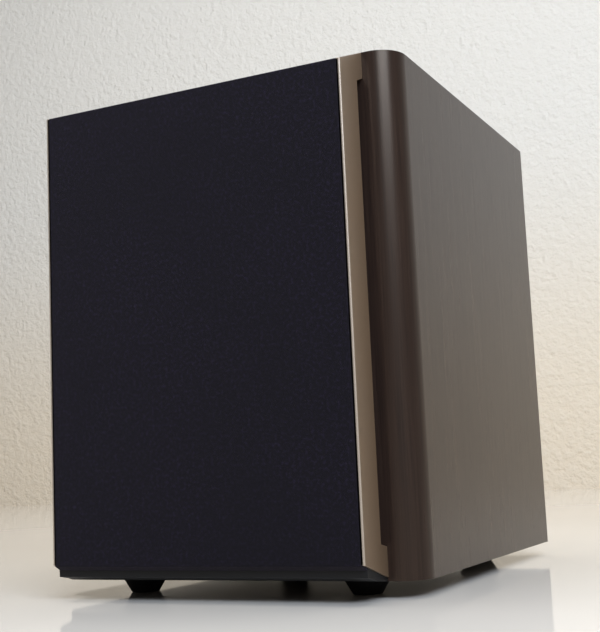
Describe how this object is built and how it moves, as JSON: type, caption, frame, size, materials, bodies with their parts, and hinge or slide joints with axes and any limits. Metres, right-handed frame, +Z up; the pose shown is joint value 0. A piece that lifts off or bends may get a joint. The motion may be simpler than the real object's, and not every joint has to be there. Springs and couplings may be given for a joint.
{
  "type": "active subwoofer",
  "caption": "Box-shaped active subwoofer with rounded front posts, a removable cloth grille in a bevelled bezel, a front woofer and port, and a rear amplifier panel.",
  "frame": {"origin": "middle of the object's footprint, on the surface that the feet stand on", "axes": "+Z up, -Y towards the grille, +X to the right as seen from the front"},
  "size_m": [0.284, 0.3666, 0.3617],
  "materials": {
    "wenge_wrap": "dark brown woodgrain vinyl over fibreboard, satin",
    "rear_laminate": "black melamine laminate, matte",
    "raw_board": "bare medium-density fibreboard",
    "champagne_abs": "champagne-bronze metallic lacquer on moulded plastic, satin",
    "black_abs": "black moulded plastic, fine spark texture",
    "gloss_abs": "black moulded plastic, satin gloss",
    "grille_fabric": "black knitted acoustic cloth",
    "wadding": "white polyester fibre wadding",
    "rubber_black": "black rubber, matte",
    "steel_black": "black powder coat on steel",
    "steel_zinc": "zinc-plated steel",
    "screw_black": "black oxide steel",
    "nickel": "nickel plate",
    "brass_pin": "brass",
    "copper_wire": "enamelled copper winding",
    "aluminium_black": "black anodised extrusion",
    "kapton": "amber polyimide tube",
    "cone_paper": "coated pulp, fibrous",
    "spider_cloth": "resin-treated corrugated cloth",
    "ferrite": "sintered ferrite, dark grey",
    "board_green": "glass-fibre circuit board",
    "can_sleeve": "blue sleeve on aluminium cans",
    "tape_yellow": "polyester winding tape",
    "lens_green": "tinted clear indicator lens",
    "lead_cover": "plastic-covered hook-up wire",
    "braid": "braided copper tinsel"
  },
  "bodies": {
    "cabinet": {"side_panel_left": "wenge_wrap", "side_panel_right": "wenge_wrap", "top_panel": "wenge_wrap", "bottom_panel": "wenge_wrap", "front_baffle": "wenge_wrap", "rear_panel": "rear_laminate", "shelf_brace": "raw_board", "damping_wadding": "wadding", "feet": "rubber_black", "foot_screws": "steel_zinc", "cheek_left": "champagne_abs", "cheek_right": "champagne_abs", "bezel_frame": "black_abs", "bezel_screws": "steel_zinc", "basket": "steel_black", "basket_gasket": "rubber_black", "woofer_screws": "screw_black", "trim_ring": "rubber_black", "surround": "rubber_black", "spider": "spider_cloth", "top_plate": "steel_zinc", "magnet_ring": "ferrite", "pole_yoke": "steel_zinc", "terminal_strip": "raw_board", "tinsel_leads": "braid", "port_tube": "gloss_abs", "amp_plate": "steel_black", "plate_screws": "screw_black", "heatsink": "aluminium_black", "mains_inlet": "gloss_abs", "inlet_pins": "brass_pin", "rocker_housing": "gloss_abs", "rca_shells": "nickel", "rca_insulators": "gloss_abs", "pot_bodies": "steel_zinc", "switch_bodies": "gloss_abs", "status_lens": "lens_green", "main_board": "board_green", "board_standoffs": "brass_pin", "capacitors": "can_sleeve", "toroid": "tape_yellow", "toroid_washer": "steel_zinc", "toroid_bolt": "steel_zinc", "input_board": "board_green", "speaker_leads": "lead_cover", "mains_leads": "lead_cover"},
    "grille": {"grille_frame": "black_abs", "grille_cloth": "grille_fabric", "grille_pegs": "rubber_black"},
    "cone_assembly": {"cone": "cone_paper", "dust_cap": "cone_paper", "coil_former": "kapton", "coil_winding": "copper_wire"},
    "volume": {"volume_knob": "gloss_abs", "volume_shaft": "steel_zinc"},
    "crossover": {"crossover_knob": "gloss_abs", "crossover_shaft": "steel_zinc"},
    "phase_switch": {"phase_slider": "gloss_abs"},
    "auto_switch": {"auto_slider": "gloss_abs"},
    "power_switch": {"power_rocker": "gloss_abs"}
  },
  "joints": [
    {"name": "grille_pull", "type": "slide", "parent": "cabinet", "child": "grille", "axis": [0, -1, 0], "range_m": [0, 0.03]},
    {"name": "cone_stroke", "type": "slide", "parent": "cabinet", "child": "cone_assembly", "axis": [0, -1, 0], "range_m": [-0.0065, 0.0065], "stiffness_N_per_m": 1800, "deforming": ["surround", "spider", "tinsel_leads"]},
    {"name": "volume_turn", "type": "hinge", "parent": "cabinet", "child": "volume", "pos_m": [0.052, 0.17435, 0.1897], "axis": [0, -1, 0], "range_deg": [-150, 150]},
    {"name": "crossover_turn", "type": "hinge", "parent": "cabinet", "child": "crossover", "pos_m": [0.012, 0.17435, 0.1897], "axis": [0, -1, 0], "range_deg": [-150, 150]},
    {"name": "phase_slide", "type": "slide", "parent": "cabinet", "child": "phase_switch", "axis": [0, 0, 1], "range_m": [0, 0.004]},
    {"name": "auto_slide", "type": "slide", "parent": "cabinet", "child": "auto_switch", "axis": [0, 0, 1], "range_m": [0, 0.004]},
    {"name": "power_rock", "type": "hinge", "parent": "cabinet", "child": "power_switch", "pos_m": [-0.04, 0.16635, 0.0957], "axis": [-1, 0, 0], "range_deg": [0, 14]}
  ]
}
